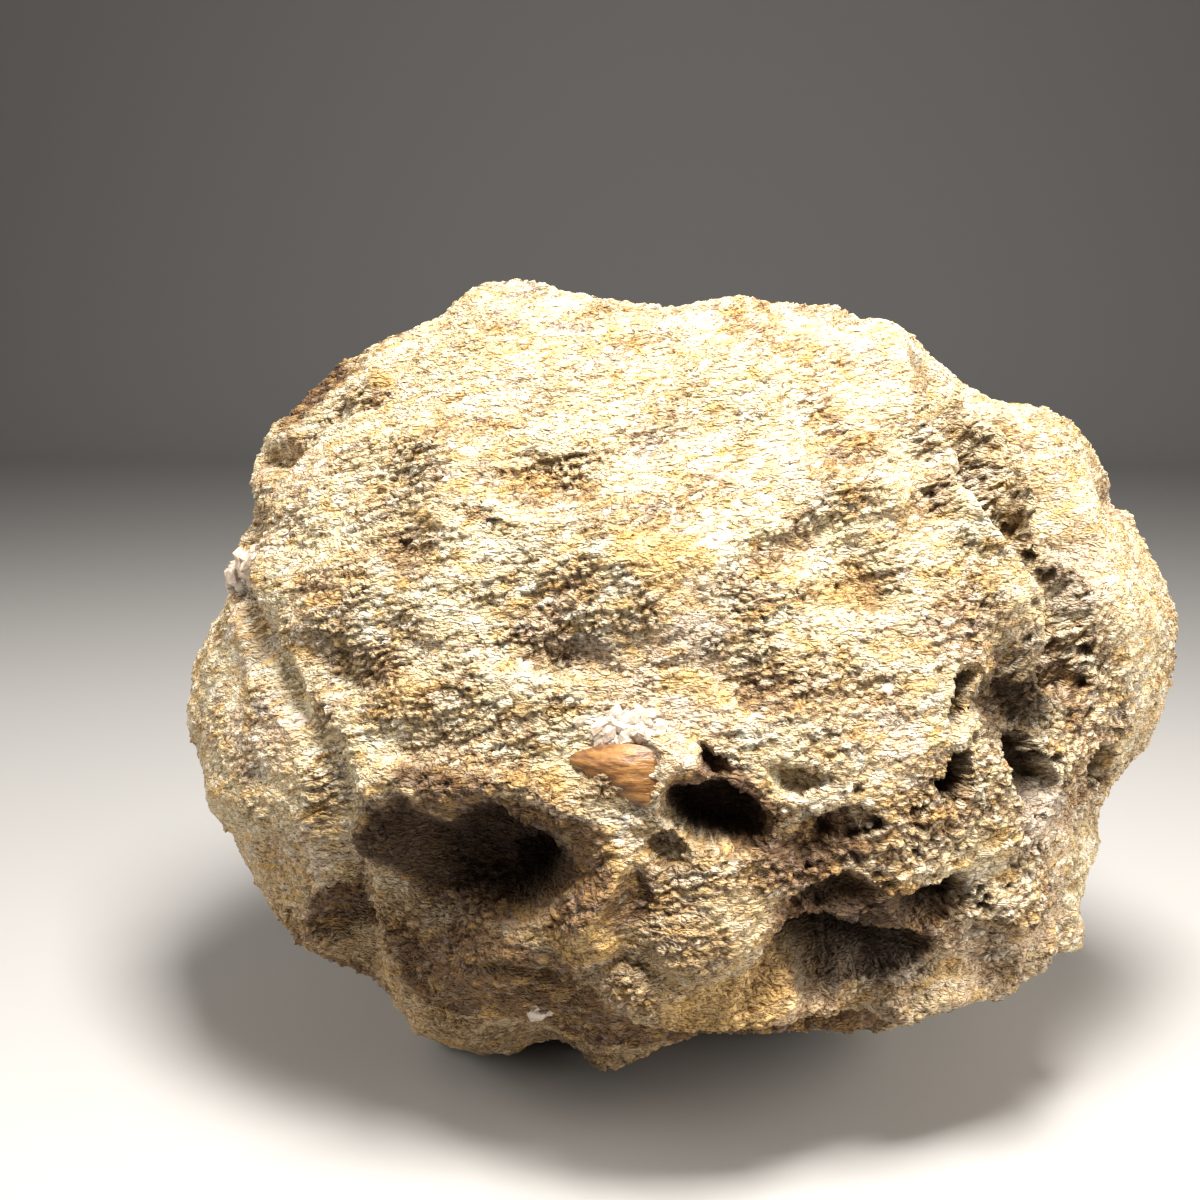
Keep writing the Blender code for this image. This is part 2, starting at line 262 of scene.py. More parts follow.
# Right, behind, above, half width, half height, height, turn, share of floor
SPOTS = {
    "left hollow": (-30, -71, -15, 18, 11, -8, 4, 0.3),
    "left hollow back": (-29, -72, -16, 14, 8, -5, 4, 0.2),
    "left hollow apron": (-37, -68, -24, 22, 14, -5, 0, 0),
    "left hollow eye": (-25, -72, -18, 6, 4.5, -6, 0, 0.3),
    "left hollow wall": (-20, -72, -13, 11, 12, -3.5, 0, 0.1),
    "crack under the hollow": (-29, -70, -32, 12, 3, -2.5, -5, 0.1),
    "recess beside the pillar": (-7, -73, -17, 3.5, 11, -3.5, 0, 0.1),
    "pillar": (-13, -74, -18, 7, 20, 5, 8, 0.1),
    "middle pit": (7, -72, -4, 9.5, 7, -13, 8, 0.45),
    "middle pit step": (-1, -72, -8, 4, 3, -4, 0, 0.3),
    "middle pit window": (5, -70, 5, 3, 2.5, -5, 0, 0.3),
    "small eye": (18, -69, 2, 4, 2.5, -4, 20, 0.3),
    "right hollow": (27, -68, -27, 18, 8.5, -15, 6, 0.5),
    "right hollow corner": (42, -62, -20, 9, 6, -7, 0, 0.3),
    "layered hollow": (26, -70, -16, 11, 4.5, -5, -8, 0.25),
    "middle tail": (24, -69, -6, 13, 5, -4, -8, 0.1),
    "shelf": (6, -73, -22, 16, 12, 5, -10, 0.1),
    "low right lobe": (56, -54, -24, 14, 10, 5, 0, 0.1),
    "spongy side": (58, -51, 10, 19, 20, -6, 10, 0.1),
    "slit": (47, -56, 14, 3, 8, -6, 35, 0.3),
    "round hole": (45, -61, 0, 4, 3.6, -7, 0, 0.45),
    "tall hole": (58, -53, 0, 4.5, 8.5, -9, 5, 0.4),
    "edge hole": (76, -39, -4, 5, 5.5, -7, 0, 0.4),
    "valley pit": (59, -38, 37, 4.5, 4, -5, 0, 0.3),
    "dome dent a": (-23, -46, 48, 15, 10, -4, 0, 0),
    "dome dent b": (-48, -48, 37, 12, 9, -3, 0, 0),
    "dome dent c": (-27, -62, 24, 12, 9, -2.5, 0, 0),
    "dome dent d": (-58, -55, 14, 10, 8, -3, 0, 0),
    "dome dent e": (26, -39, 52, 10, 8, -3, 0, 0),
    "dome dent f": (19, -54, 37, 10, 7, -2.5, 0, 0),
    "dome dent g": (31, -54, 32, 11, 8, -3, 0, 0),
    "dome dent h": (10, -66, 17, 10, 6, -2.5, 10, 0),
    "dome dent i": (-19, -65, 20, 9, 5, -2.5, 15, 0),
    "dome swell a": (-5, -58, 35, 16, 11, 3, 0, 0),
    "dome swell b": (33, -46, 45, 13, 10, 4, 0, 0),
    "dome swell c": (8, -30, 62, 18, 12, 3, 0, 0),
    "dome swell d": (-42, -40, 52, 14, 10, 3, 0, 0),
    "dome swell e": (-43, -62, 12, 14, 10, 2, 0, 0),
    "corner recess": (-60, -56, -32, 8, 6, -5, -30, 0.2),
    "left flank swell": (-88, -8, 0, 22, 26, 4, 0, 0),
    "left flank hollow": (-82, 20, -18, 17, 12, -8, 8, 0.25),
    "left flank pit": (-90, 8, 20, 8, 5, -5, 30, 0.2),
    "left flank pit low": (-92, 2, 12, 4, 6, -4, 0, 0.3),
    "left heel": (-74, 34, -40, 20, 14, 5, 0, 0),
    "right flank swell": (88, 6, 16, 24, 22, 4, 0, 0),
    "right flank hollow": (82, 22, -24, 18, 11, -10, -6, 0.3),
    "right flank pit": (92, -2, -8, 6, 9, -5, 25, 0.2),
    "right flank pit low": (78, -18, -34, 6, 5, -5, 0, 0.3),
    "back hollow": (-24, 68, -14, 22, 14, -12, -5, 0.3),
    "back hollow eye": (-18, 68, -18, 9, 5, -6, 25, 0.25),
    "back hollow edge": (-4, 68, -22, 6, 8, -5, 0, 0.2),
    "back ledge": (-10, 66, -38, 34, 7, 5, 5, 0),
    "back shoulder": (38, 52, 34, 26, 18, 7, 0, 0),
    "back saddle": (2, 50, 50, 20, 16, -6, 0, 0),
    "back pit": (36, 62, -10, 11, 6, -8, 20, 0.25),
    "back pit step": (27, 64, -5, 6, 7, -5, 0, 0.3),
    "back pit right": (52, 50, 10, 5, 6, -6, 0, 0.35),
    "back pit left": (-56, 44, 26, 9, 5, -5, 40, 0.2),
    "back brow": (-34, 60, 16, 26, 8, 5, -8, 0),
    "top dish": (-6, 22, 72, 24, 18, -4, 0, 0),
    "top knob": (30, 20, 70, 14, 12, 4, 0, 0),
    "under left": (-48, 6, -62, 26, 20, -5, 0, 0),
    "under right": (50, 0, -60, 26, 18, -4, 0, 0),
    "under back": (6, 46, -60, 28, 14, -5, 0, 0),
    "sole": (-4, -1, -70, 34, 27, 3, 0, 0.3),
}
SPOT_REACH = 45.0
# Spot heights from the first to the second make hollows from none to full; the colours darken
# hollows as painted shade.
DARK_HOLLOW = (-3.5, -7.5)

# Half width, height, and the places that the line runs through
LINES = {
    "valley": (8, -8, ((46, -14, 61), (47, -27, 51), (52, -35, 43), (59, -38, 37),
                       (63, -41, 30), (67, -43, 22), (69, -45, 13))),
    "lobe valley": (7, -7, ((56, 6, 68), (54, -8, 61), (60, -21, 50), (66, -28, 42),
                            (71, -31, 34))),
    "dome edge": (7, 4.5, ((38, -12, 69), (42, -26, 57), (45, -38, 46), (52, -42, 38),
                           (57, -45, 30), (61, -48, 21), (62, -50, 12))),
    "valley shoulder": (4, 3, ((50, -14, 59), (55, -23, 50), (60, -32, 42))),
    "flank edge": (7, -4, ((-85, -14, 33), (-79, -31, 22), (-75, -38, 17),
                           (-68, -48, 11), (-58, -57, 2), (-56, -60, -5),
                           (-55, -60, -18), (-56, -53, -36))),
    "back ridge dip": (6, -6, ((-46, 4, 73), (-52, -9, 67), (-57, -18, 60),
                               (-67, -12, 58), (-73, -16, 50), (-83, -5, 45))),
    "brow": (7, 3.5, ((-48, -64, -1), (-36, -68, 0), (-20, -72, 0), (-10, -72, 2),
                      (4, -72, 3))),
    "low ledge": (6, 6, ((-6, -72, -33), (4, -70, -36), (38, -59, -39),
                         (56, -50, -37), (68, -38, -34))),
    "under the ledge": (5, -4, ((2, -66, -44), (18, -62, -46), (38, -54, -47),
                                (56, -44, -45))),
    "back seam": (8, -4, ((70, 30, 44), (46, 52, 16), (20, 66, 4), (-6, 66, 8),
                          (-34, 62, 0), (-62, 46, -8), (-82, 20, 2))),
    "right seam": (8, -4, ((78, -10, 40), (86, 12, 26), (84, 30, 4), (70, 44, -20),
                           (50, 52, -40))),
}
LINE_CREST = 0.1
LUMPS = ((38.0, 3.0, 11), (19.0, 1.7, 12), (9.5, 0.8, 13))
BENDS = ((22.0, 4.5, (21, 22, 23)), (9.0, 2.4, (24, 25, 26)))


def bend(points):
    """Points pushed about by random patterns, for uneven rims."""
    for size, reach, seeds in BENDS:
        pushes = [pattern(points, size, seed) for seed in seeds]
        points = points + reach * np.stack(pushes, axis=1)
    return points


def wear_flats(points):
    """What stands out past each flat is pushed most of the way back to it."""
    for bearing, rise, distance in FLATS.values():
        bearing, rise = math.radians(bearing), math.radians(rise)
        outward = np.array([math.sin(bearing) * math.cos(rise),
                            -math.cos(bearing) * math.cos(rise),
                            math.sin(rise)])
        past = points @ outward - distance
        proud = (past + np.hypot(past, FLAT_SOFTNESS)) / 2.0
        points = points - FLAT_SHARE * proud[:, None] * outward
    return points


def spot_share(bent, spot):
    """1 in the middle of a spot, falling to 0 at its rim, and its own outward direction."""
    place, (width, height, lift, turn, floor) = np.array([spot[:3]], float), spot[3:]
    outward = unit(place / np.square(HALF_SIZES))[0]
    level = unit(np.cross((0.0, 0.0, 1.0), outward))
    steep = np.cross(outward, level)
    sine, cosine = math.sin(math.radians(turn)), math.cos(math.radians(turn))
    across = steep * sine - level * cosine
    along = steep * cosine + level * sine
    offset = bent - bend(place)
    far = np.sqrt((offset @ across / width) ** 2
                  + (offset @ along / height) ** 2
                  + (offset @ outward / SPOT_REACH) ** 2)
    return 1.0 - ease(floor, 1.0, far), outward


def line_share(bent, half_width, places):
    """1 on a line through the places, falling to 0 at half the width aside."""
    places = bend(np.array(places, dtype=float))
    nearest = np.full(len(bent), np.inf)
    for start, end in zip(places[:-1], places[1:]):
        run = end - start
        share = np.clip((bent - start) @ run / (run @ run), 0.0, 1.0)
        away = np.linalg.norm(bent - start - share[:, None] * run, axis=1)
        nearest = np.minimum(nearest, away)
    return 1.0 - ease(LINE_CREST, 1.0, nearest / half_width)


def stone_points(ball):
    """The solid's whole form: worn body, spots, lines and lumps, added up.

    Also how deep in a hollow each point is, from 0 to 1 at the deepest floors.
    """
    points, normals = wear_flats(body(ball)), body_normals(ball)
    bent = bend(points)
    moved = points.copy()
    hollow = np.zeros(len(points))
    for spot in SPOTS.values():
        share, outward = spot_share(bent, spot)
        moved += spot[5] * share[:, None] * outward
        hollow = np.maximum(hollow, share * ease(*DARK_HOLLOW, spot[5]))
    for half_width, lift, places in LINES.values():
        moved += lift * line_share(bent, half_width, places)[:, None] * normals
    for size, height, seed in LUMPS:
        moved += height * pattern(points, size, seed)[:, None] * normals
    return moved, hollow


print("the form has", len(FLATS), "flats,", len(SPOTS), "spots and", len(LINES), "lines")

# %% [markdown]
# A ball of longitudes and latitudes would crowd its points at two poles. Here
# the six faces of a cube are blown up instead, each a square grid of two
# parameters, so all the cells come out nearly the same size. Points on the
# cube's edges come twice, and share one number, so the seams fit exactly.

# %% A grid that wraps the whole stone
CELLS = 280
GATHER = np.array([0.0, -0.15, 0.0])
SIDES = {"front": (0, -1, 0), "back": (0, 1, 0), "left": (-1, 0, 0),
         "right": (1, 0, 0), "top": (0, 0, 1), "foot": (0, 0, -1)}


def cube_face(out):
    """Directions on one face of a blown-up cube, as a square grid.

    Both parameters run from -45 to 45 degrees, and their tangents are the
    place on the flat face, which evens out the cells.
    """
    out = np.array(out, dtype=float)
    across = np.roll(out, 1)
    along = np.cross(out, across)
    slopes = np.tan(np.linspace(-math.pi / 4, math.pi / 4, CELLS + 1))
    first, second = np.meshgrid(slopes, slopes, indexing="ij")
    return unit(out + first[..., None] * across + second[..., None] * along)


def ball_grid():
    """Directions all round, and the number of each patch's grid points among them.

    A small step towards the front before the last normalising gathers the
    cells there.
    """
    grids = np.stack([cube_face(out) for out in SIDES.values()])
    rounded = np.round(grids.reshape(-1, 3) * 1e6).astype(np.int64)
    _, first, number = np.unique(rounded, axis=0, return_index=True, return_inverse=True)
    return unit(grids.reshape(-1, 3)[first] + GATHER), number.reshape(grids.shape[:-1])


def cells_of(number):
    """The four corners of each cell of one or more grids of point numbers."""
    corners = (number[..., :-1, :-1], number[..., 1:, :-1],
               number[..., 1:, 1:], number[..., :-1, 1:])
    return np.stack(corners, axis=-1).reshape(-1, 4)


ball, numbers = ball_grid()
quads = cells_of(numbers)
form, hollow = stone_points(ball)
print(len(ball), "points and", len(quads), "cells; width", round(np.ptp(form[:, 0]), 1), "mm")

# %% [markdown]
# Now the rind itself. Close up it is a crust of small flakes in thin beds, over
# creased lumps, and eaten by pits. The relief is added along the form's own
# normals. How rough it is differs from place to place: the left flank is worn
# smoother, and the right side under the valley is open like coral. The same
# sums give masks, which the colours use later.

# %% Relief of the rind
# Right, behind, above, half width, half height, turn, share of floor
SPONGE_SPOTS = {
    "coral side": (62, -48, 8, 26, 28, 10, 0.4),
    "under the dome": (34, -66, -8, 26, 12, 0, 0.3),
    "valley": (62, -38, 34, 12, 20, 0, 0.2),
    "below the valley": (56, -50, -22, 18, 14, 0, 0.2),
    "back": (40, 56, -6, 30, 22, 0, 0.3),
    "back left": (-50, 50, 10, 26, 18, 0, 0.2),
}
DENT_SPOTS = {
    "upper left": (-26, -46, 48, 17, 9, 12, 0.2),
    "left": (-47, -50, 35, 13, 8, 10, 0.2),
    "left low": (-56, -54, 17, 13, 8, 0, 0.2),
    "middle": (-24, -64, 21, 9, 4, 12, 0.0),
    "upper right": (30, -39, 51, 9, 6, 0, 0.2),
    "right": (18, -54, 37, 9, 6, 0, 0.2),
    "far right": (30, -55, 31, 12, 7, 0, 0.2),
    "low middle": (12, -67, 15, 8, 4, 10, 0.0),
    "right fold": (42, -41, 43, 8, 8, 0, 0.2),
    "back low": (20, 62, -30, 22, 12, 0, 0.2),
    "back high": (-20, 52, 44, 22, 12, 0, 0.2),
    "top": (10, 10, 74, 20, 12, 0, 0.2),
    "back ridge": (-72, 4, 57, 14, 12, 0, 0.4),
    "brow": (-30, -71, 4, 26, 6, 0, 0.3),
    "left end": (-92, 10, 0, 14, 12, 0, 0.2),
    "right end": (92, 6, 6, 14, 12, 0, 0.2),
}
WORN_SPOTS = {
    "left flank": (-80, -34, 0, 16, 34, 0, 0.5),
    "right lobe": (80, -20, 42, 18, 24, 0, 0.3),
    "top right": (45, -10, 72, 18, 14, 0, 0.3),
}
# Umber brown: a real stain in places, and painted shade in recesses, under ledges and on the
# underside.
UMBER_AND_SHADE_SPOTS = {
    "left hollow": (-33, -70, -15, 25, 15, 0, 0.5),
    "recess beside the pillar": (-7, -73, -16, 4, 9, 0, 0.2),
    "left low front": (-32, -66, -34, 28, 15, 0, 0.4),
    "pillar": (-15, -73, -15, 8, 15, 0, 0.2),
    "back ridge": (-72, 6, 58, 16, 14, 0, 0.2),
    "brow": (-38, -69, 0, 26, 6, 0, 0.0),
    "under the brow": (-28, -71, -4, 20, 4, 0, 0.4),
    "middle pit": (8, -72, -2, 13, 9, 0, 0.5),
    "right hollow": (29, -67, -22, 23, 12, 0, 0.5),
    "over the right hollow": (24, -70, -9, 18, 7, -8, 0.1),
    "foot": (-10, -62, -46, 26, 10, 0, 0.5),
    "ledge underside": (30, -56, -48, 48, 8, 0, 0.4),
    "corner recess": (-58, -56, -28, 11, 10, 0, 0.3),
    "left heel": (-66, -40, -44, 22, 10, 0, 0.3),
    "sole": (-4, -1, -69, 70, 50, 0, 0.4),
}
# Painted shade, partly dirt: places in the hollows darkened near black.
DEEP_SHADE_AND_DIRT_SPOTS = {
    "right hollow": (28, -68, -28, 20, 10, 0, 0.5),
    "over the right hollow": (30, -68, -19, 17, 6, 0, 0.3),
    "left hollow": (-40, -68, -13, 22, 13, 0, 0.1),
}
OCHRE_SPOTS = {
    "pillar": (-14, -73, -16, 8, 18, 0, 0.4),
    "face": (-3, -57, 35, 12, 8, 20, 0.1),
    "over the window": (2, -66, 17, 8, 4, 0, 0.1),
    "left face": (-44, -60, 12, 14, 8, 0, 0.1),
    "shelf foot": (8, -70, -32, 18, 7, 0, 0.2),
    "left low": (-30, -64, -42, 16, 8, 0, 0.2),
    "right dent": (30, -55, 31, 10, 5, 0, 0.1),
    "back": (-20, 60, 20, 22, 16, 0, 0.1),
    "right end": (86, 4, -10, 14, 16, 0, 0.1),
}
GREY_SPOTS = {
    "face": (4, -63, 25, 11, 5, 10, 0.1),
    "face left": (-14, -64, 23, 9, 4, 10, 0.1),
    "valley": (50, -32, 47, 7, 12, 30, 0.2),
    "right lobe": (70, -34, 30, 8, 10, 20, 0.2),
    "over the brow": (-9, -71, 7, 9, 3, 0, 0.1),
    "low ledge": (34, -61, -33, 16, 5, 0, 0.2),
    "right low": (62, -49, -8, 9, 8, 0, 0.1),
    "left edge": (-76, -38, 16, 5, 14, 20, 0.1),
    "back high": (30, 50, 30, 18, 12, 0, 0.1),
    "top": (-30, 0, 72, 20, 10, 0, 0.1),
}
QUARTZ_SPOTS = {
    "over the window": (-8, -69.5, 10.5, 8, 4.5, 8, 0.4),
    "knob": (-82, -24, 28, 8, 8, 0, 0.6),
    "face": (5, -55, 38, 1, 2.5, 0, 0.1),
    "right low": (34, -60, 16, 2.5, 2, 0, 0.1),
    "left low": (-66, -52, 6, 2.5, 2, 0, 0.1),
    "foot": (-21, -66, -46, 1.8, 1.8, 0, 0.1),
    "back": (20, 64, 12, 5, 4, 0, 0.2),
    "right end": (90, 4, 20, 3, 3, 0, 0.2),
}

# These two also have a height, before the turn
WINDOW_SEAT = (-9.5, -71, 3.5, 9, 6.5, -2.0, 0, 0.6)
KNOB = (-82, -24, 28, 7, 7, 4.0, 0, 0.3)
BEDDING_RISE = math.radians(16.0)
BEDDING_SQUEEZE = 2.1
DROOP = 0.6
DENT_DEPTH = 0.5
LARGE_FLAKES = {"size": 2.6, "uneven": 0.25, "tilt": 0.9, "groove": 0.45}
SMALL_FLAKES = {"size": 1.4, "uneven": 0.12, "tilt": 0.5, "groove": 0.3}
GROOVE_WIDTH = 0.3


def grid_normals(points, faces):
    """Outward normals at shared points: the sum of the crossed diagonals of each cell."""
    one = points[faces[:, 2]] - points[faces[:, 0]]
    other = points[faces[:, 3]] - points[faces[:, 1]]
    crossed = np.cross(one, other)
    total = np.zeros_like(points)
    for corner in range(4):
        for axis in range(3):
            total[:, axis] += np.bincount(faces[:, corner], crossed[:, axis], len(points))
    return unit(total)


def mask(bent, spots):
    """The largest share that any of the spots, which have no height, has at each point."""
    level = [spot[:5] + (0,) + spot[5:] for spot in spots.values()]
    return np.max([spot_share(bent, spot)[0] for spot in level], axis=0)


def bedding(points):
    """Space turned and squeezed so that patterns lie in thin beds that rise to the right."""
    sine, cosine = math.sin(BEDDING_RISE), math.cos(BEDDING_RISE)
    along = points[:, 0] * cosine + points[:, 2] * sine
    above = points[:, 2] * cosine - points[:, 0] * sine
    return np.stack([along, points[:, 1], above * BEDDING_SQUEEZE], axis=1)


def warped(points, size, reach, first_seed):
    """Points pushed about a little by three random patterns, so that nothing stays round."""
    pushes = [pattern(points, size, first_seed + axis) for axis in range(3)]
    return points + reach * np.stack(pushes, axis=1)


def rind_lumps(points, sponge, dents, worn, hollow):
    """Height of the lumps that are over the form, and the depth of the pits cut into them.

    Creased lumps of two sizes, and ragged pits of three sizes.
    """
    beds = bedding(points)
    calm = 1.0 - 0.5 * worn - 0.3 * hollow
    lumps = calm * (1.0 * billow(beds, 16.0, 30) + 0.8 * billow(beds, 8.0, 31))
    ragged = warped(points, 2.4, 0.7, 44)
    eaten = np.maximum(sponge, 0.4 * dents)
    large = holes(ragged, size=9.0, seed=41, smallest=0.10, largest=0.24, share=0.8)
    middling = holes(ragged, size=5.5, seed=42, smallest=0.12, largest=0.30, share=0.6)
    small = holes(ragged, size=3.3, seed=43, smallest=0.16, largest=0.38, share=0.7)
    pits = (3.2 * large * ease(0.3, 0.9, sponge) + 2.4 * middling * ease(0.15, 0.8, eaten)
            + 1.7 * small * (0.1 + 0.9 * ease(0.0, 0.7, eaten)))
    pits *= (1.0 - 0.8 * worn) * (1.0 - 0.4 * hollow)
    return lumps - DENT_DEPTH * dents - pits, pits


def flake_relief(beds, kind, seed):
    """Height of one kind of flakes, how open the grooves round them are, and their traits.

    Each flake is higher or lower than its neighbours, has a groove all round,
    and stands out at its lower edge like a shingle.
    """
    inside, traits = flakes(beds, kind["size"], seed)
    groove = 1.0 - ease(0.0, GROOVE_WIDTH, inside)
    height = (kind["uneven"] * traits[:, 0] + kind["tilt"] * traits[:, 3]
              - kind["groove"] * groove)
    return height, groove, traits


def rind_crumbs(points, rough):
    """Height of the crumbs, how open the gaps between them are, and the traits of each.

    They are flakes of two sizes in thin beds, over creased lumps. The gaps
    between small flakes count for three quarters.
    """
    beds = warped(bedding(points), 4.0, 0.8, 34)
    large, large_gaps, large_traits = flake_relief(beds, LARGE_FLAKES, 32)
    finer = warped(beds, 1.6, 0.25, 45)
    small, small_gaps, small_traits = flake_relief(finer, SMALL_FLAKES, 33)
    height = 0.2 + 0.6 * billow(beds, 3.4, 37) + large + small
    gaps = np.maximum(large_gaps, 0.75 * small_gaps)
    return height * rough, gaps, np.hstack([large_traits, small_traits])


def roughness(points, sponge, dents, worn, umber_and_shade):
    """How high the crumbs stand, about 0.2 to 1.3.

    They stand higher in random patches, where the rind is open and where the
    umber stain and painted shade lie, and lower where it is worn.
    """
    patchy = ease(-0.5, 0.5, pattern(points, 13.0, 39) + 0.5 * pattern(points, 6.0, 38))
    return 0.38 + 0.4 * patchy + 0.3 * np.maximum(sponge, dents) - 0.2 * worn + 0.2 * umber_and_shade


def raised(points, faces, height):
    """Points moved along their normals by a height.

    Where the surface is steep they also move down by a share of that height, so
    that flakes droop over the gap below.
    """
    normals = grid_normals(points, faces)
    moved = points + height[:, None] * normals
    moved[:, 2] -= DROOP * height * (1.0 - np.abs(normals[:, 2]))
    return moved


bent = bend(wear_flats(body(ball)))
sponge, dents, worn = mask(bent, SPONGE_SPOTS), mask(bent, DENT_SPOTS), mask(bent, WORN_SPOTS)
umber_and_shade, ochre, grey = mask(bent, UMBER_AND_SHADE_SPOTS), mask(bent, OCHRE_SPOTS), mask(bent, GREY_SPOTS)
quartz, deep_shade_and_dirt = mask(bent, QUARTZ_SPOTS), mask(bent, DEEP_SHADE_AND_DIRT_SPOTS)
for spot in (WINDOW_SEAT, KNOB):
    share, outward = spot_share(bent, spot)
    form = form + spot[5] * share[:, None] * outward
lumps, pits = rind_lumps(form, sponge, dents, worn, hollow)
lumpy = raised(form, quads, lumps)
rough = roughness(form, sponge, dents, worn, umber_and_shade)
crumbs, gaps, traits = rind_crumbs(lumpy, rough)
rind = raised(lumpy, quads, crumbs)
print("lumps run from", round(lumps.min(), 1), "to", round(lumps.max(), 1), "mm")
print("crumbs run from", round(crumbs.min(), 1), "to", round(crumbs.max(), 1), "mm")

# %% [markdown]
# The rind is chalky and sugary: cream where it is clean, tan and pink in
# patches, stained ochre by iron and grey by other minerals, and umber brown in
# places. Shade is painted over it as well: brown towards the bottom, umber in
# recesses and under ledges, and near black in pits and hollows, partly dirt
# there. The colours are worked out for every point as well, from a list of
# stains, one over another. Some follow clouds, which are random patterns of
# several sizes, some colour whole flakes, and some fill a mask whose edge a
# cloud makes ragged.

# %% Colours of the rind
CREAM = np.array([0.86, 0.73, 0.46])
PALE = np.array([0.95, 0.90, 0.76])
TAN = np.array([0.68, 0.49, 0.25])
PINK = np.array([0.76, 0.57, 0.40])
OCHRE = np.array([0.72, 0.46, 0.15])
GREY = np.array([0.50, 0.46, 0.43])
# Earthy brown: a stain in the dents, and painted shade towards the bottom.
EARTH_AND_SHADE = np.array([0.46, 0.30, 0.14])
# Umber brown: both a stain and painted shade in recesses.
UMBER_AND_SHADE = np.array([0.23, 0.125, 0.052])
# Near black: painted shade in pits and hollows, partly dirt.
DEEP_SHADE_AND_DIRT = np.array([0.045, 0.022, 0.009])
WHITE = np.array([0.82, 0.76, 0.68])
# Crease brown: painted shade in the gaps between flakes, partly dirt.
CREASE_SHADE_AND_DIRT = np.array([0.26, 0.155, 0.07])
LIGHTEST = 0.97
FLAKE_SHADE = 0.1
GAP_SHARE = 0.95
DEEP_SHADE_AND_DIRT_SHARE = 0.9
# Painted shade: browner towards the bottom between these heights, and fading out towards the right
# between these places, in mm.
LOW_SHADE_TOP, LOW_SHADE_FOOT = 8.0, -48.0
LOW_SHADE_LEFT, LOW_SHADE_RIGHT = 10.0, 80.0


def cloud(points, size, seed):
    """Ragged random values of about -1 to 1: patterns of three sizes, each half the last."""
    octaves = range(3)
    return sum(pattern(points, size / 2**n, seed + n) / 2**n for n in octaves) / 1.4


def stain(color, other, share):
    """Colours moved towards another colour by a share."""
    return color + (other - color) * share[:, None]


def ragged(points, share, size, seed):
    """A soft mask made ragged: it is added to a cloud, and the sum cut near a half."""
    return ease(0.32, 0.72, share + 0.5 * cloud(points, size, seed))


def stains_of(points, masks, large, small):
    """The stains in order: the colour, its largest share, and its share at each point.

    Large and small are the random traits of the two sizes of flakes.
    """
    beds = bedding(points)
    low_shade = ease(LOW_SHADE_TOP, LOW_SHADE_FOOT, points[:, 2]) * ease(LOW_SHADE_RIGHT, LOW_SHADE_LEFT, points[:, 0])
    umber_and_shade_patches = ragged(points, masks["umber_and_shade"], 8.0, 102)
    return (
        (TAN, 1.0, ease(-0.35, 0.45, cloud(points, 13.0, 50))),
        (PINK, 0.8, ease(0.0, 0.5, cloud(points, 17.0, 54))),
        (PALE, 0.7, ease(0.1, 0.5, cloud(beds, 5.0, 62))),
        (GREY, 0.6, ease(0.25, 0.6, cloud(beds, 9.0, 66))),
        (PALE, 0.5, ease(0.35, 0.8, large[1])),
        (OCHRE, 0.5, ease(0.55, 0.9, large[2])),
        (GREY, 0.35, ease(0.6, 0.9, small[1])),
        (PALE, 0.4, ease(0.5, 0.9, small[2])),
        # Painted shade: browner towards the bottom. The brown in the dents below is a stain.
        (EARTH_AND_SHADE, 0.75, low_shade),
        (EARTH_AND_SHADE, 0.4, ragged(points, masks["dents"], 6.0, 90)),
        (OCHRE, 0.75, ease(0.15, 0.55, cloud(beds, 6.0, 58))),
        (OCHRE, 0.6, ragged(points, masks["ochre"], 9.0, 94)),
        (GREY, 0.5, ragged(points, masks["grey"], 7.0, 98)),
        # Umber: partly stain, partly painted shade in recesses and under ledges.
        (UMBER_AND_SHADE, 0.9, umber_and_shade_patches),
        (OCHRE, 0.45, umber_and_shade_patches * ease(0.2, 0.9, large[2])),
        (GREY, 0.3, umber_and_shade_patches * ease(0.3, 0.9, small[1])),
        (WHITE, 0.8, ragged(points, masks["quartz"], 3.0, 106)),
    )


def rind_colors(points, masks, traits):
    """The stains over cream, then a random tone for each flake, then painted shade, partly dirt:
    brown in open gaps, near black in pits and hollows.
    """
    large, small = traits.T[:4], traits.T[4:]
    color = np.tile(CREAM, (len(points), 1))
    for other, most, share in stains_of(points, masks, large, small):
        color = stain(color, other, most * share)
    shade = 1.0 + FLAKE_SHADE * (large[1] + small[2])
    color = np.clip(color * shade[:, None], 0.0, LIGHTEST)
    # Painted shade, partly dirt: the open gaps between the flakes are darkened.
    open_gaps = masks["gaps"] * (0.3 + 0.6 * ease(0.45, 0.9, masks["rough"]))
    color = color * stain(np.ones(3), CREASE_SHADE_AND_DIRT, GAP_SHARE * open_gaps)
    # Painted shade, partly dirt: near black in pits, in hollows and in the listed spots.
    shade_and_dirt_share = np.maximum(ease(0.35, 1.6, masks["pits"]), ease(0.05, 0.75, masks["hollow"]))
    shade_and_dirt_share = np.maximum(shade_and_dirt_share, 0.8 * ragged(points, masks["deep_shade_and_dirt"], 5.0, 110))
    return stain(color, DEEP_SHADE_AND_DIRT, DEEP_SHADE_AND_DIRT_SHARE * shade_and_dirt_share)


masks = {"pits": pits, "gaps": gaps, "rough": rough, "hollow": hollow, "dents": dents,
         "umber_and_shade": umber_and_shade, "ochre": ochre, "grey": grey, "quartz": quartz, "deep_shade_and_dirt": deep_shade_and_dirt}
colors = rind_colors(lumpy, masks, traits)
print("mean colour of the rind:", colors.mean(axis=0).round(2))

